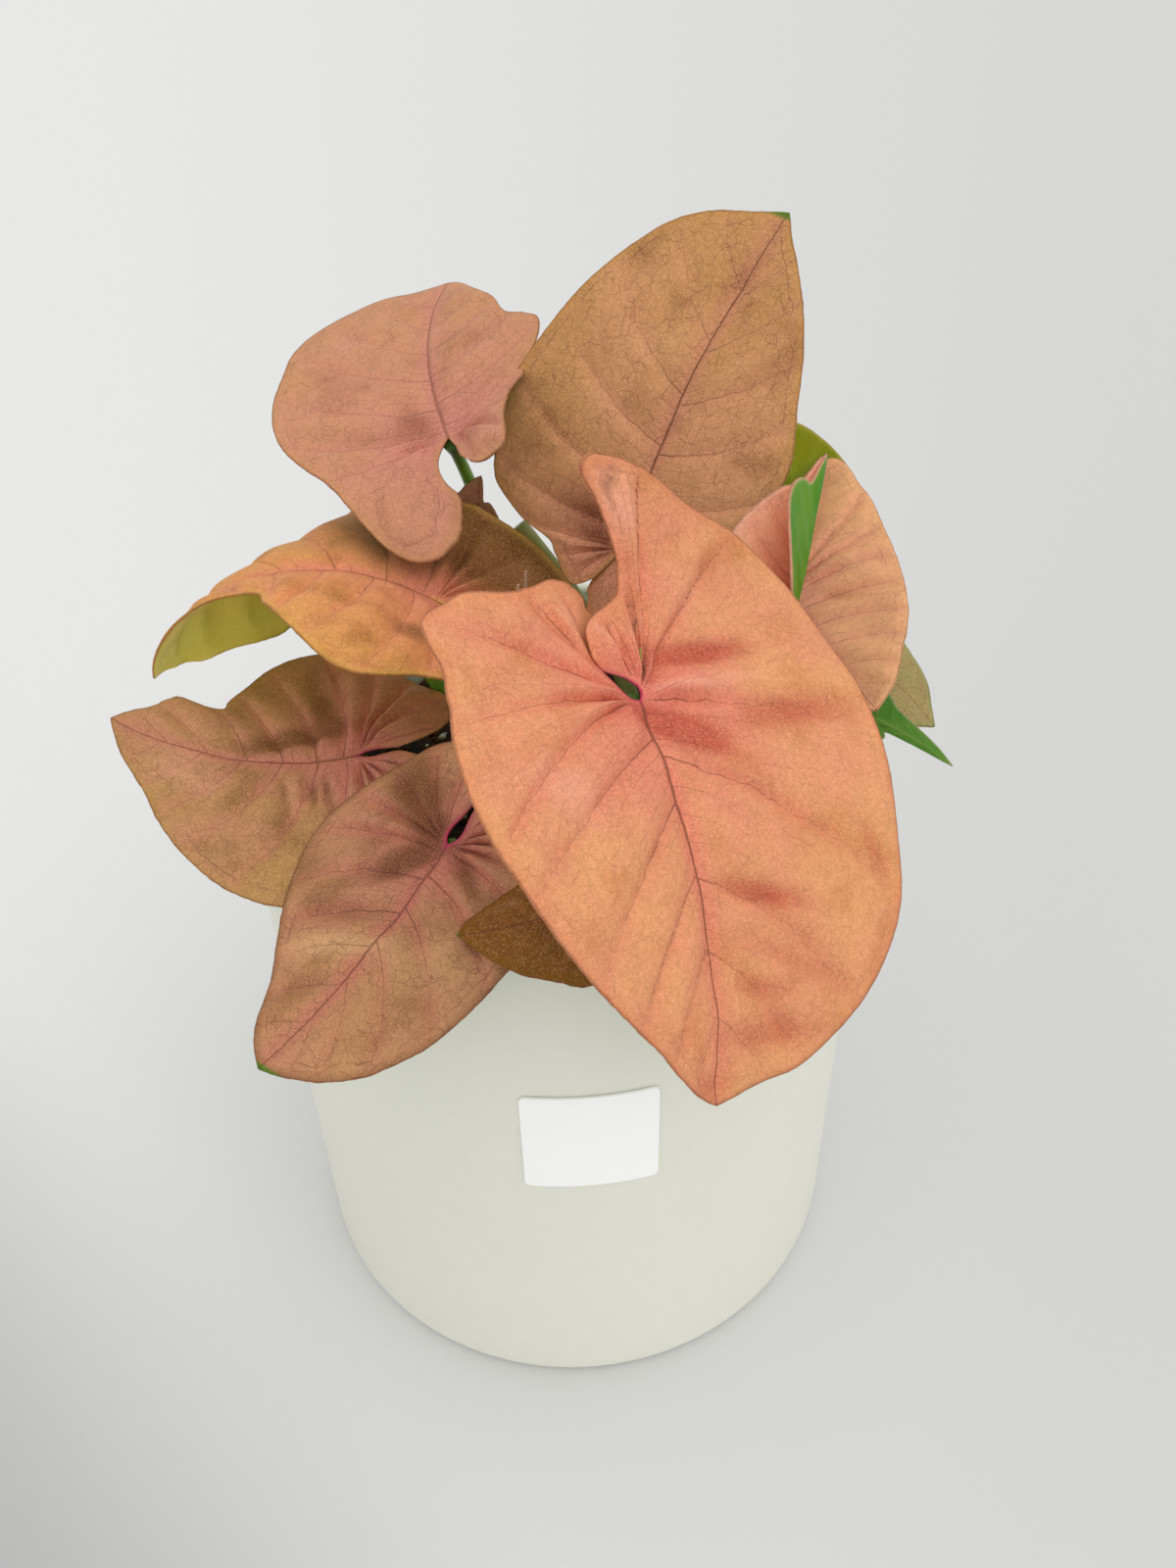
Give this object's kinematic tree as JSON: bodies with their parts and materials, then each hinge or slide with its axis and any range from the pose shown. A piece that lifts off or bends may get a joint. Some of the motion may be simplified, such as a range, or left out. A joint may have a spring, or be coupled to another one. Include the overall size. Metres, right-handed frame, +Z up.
{
  "type": "potted arrowhead plant",
  "caption": "Compact arrowhead houseplant with pink and orange arrow-shaped leaves on green stalks, growing from soil in a plain off-white cylindrical pot.",
  "frame": {"origin": "centre of the pot's underside", "axes": "+Z up along the pot's axis; -Y towards the picture's viewer, the side with the bare label; +X to the viewer's right"},
  "size_m": [0.1608, 0.1782, 0.222],
  "materials": {
    "pot_glaze": "satin",
    "potting_mix": "matte",
    "label_paper": "satin",
    "stalk_green": "satin",
    "leaf_front_skin": "satin",
    "leaf_back_skin": "satin",
    "leaf_upper_left_skin": "satin",
    "leaf_left_skin": "satin",
    "leaf_lower_left_skin": "satin",
    "leaf_front_left_skin": "satin",
    "leaf_rim_skin": "satin",
    "leaf_right_folded_skin": "satin",
    "leaf_right_skin": "satin",
    "leaf_behind_skin": "satin",
    "leaf_right_low_skin": "satin",
    "leaf_right_curled_skin": "satin",
    "leaf_young_skin": "satin"
  },
  "bodies": {
    "root": {"pot": "pot_glaze", "soil": "potting_mix", "label": "label_paper", "stalks_left": "stalk_green", "stalks_right": "stalk_green", "leaf_front": "leaf_front_skin", "leaf_back": "leaf_back_skin", "leaf_upper_left": "leaf_upper_left_skin", "leaf_left": "leaf_left_skin", "leaf_lower_left": "leaf_lower_left_skin", "leaf_front_left": "leaf_front_left_skin", "leaf_rim": "leaf_rim_skin", "leaf_right_folded": "leaf_right_folded_skin", "leaf_right": "leaf_right_skin", "leaf_behind": "leaf_behind_skin", "leaf_right_low": "leaf_right_low_skin", "leaf_right_curled": "leaf_right_curled_skin", "leaf_young": "leaf_young_skin"}
  },
  "joints": []
}
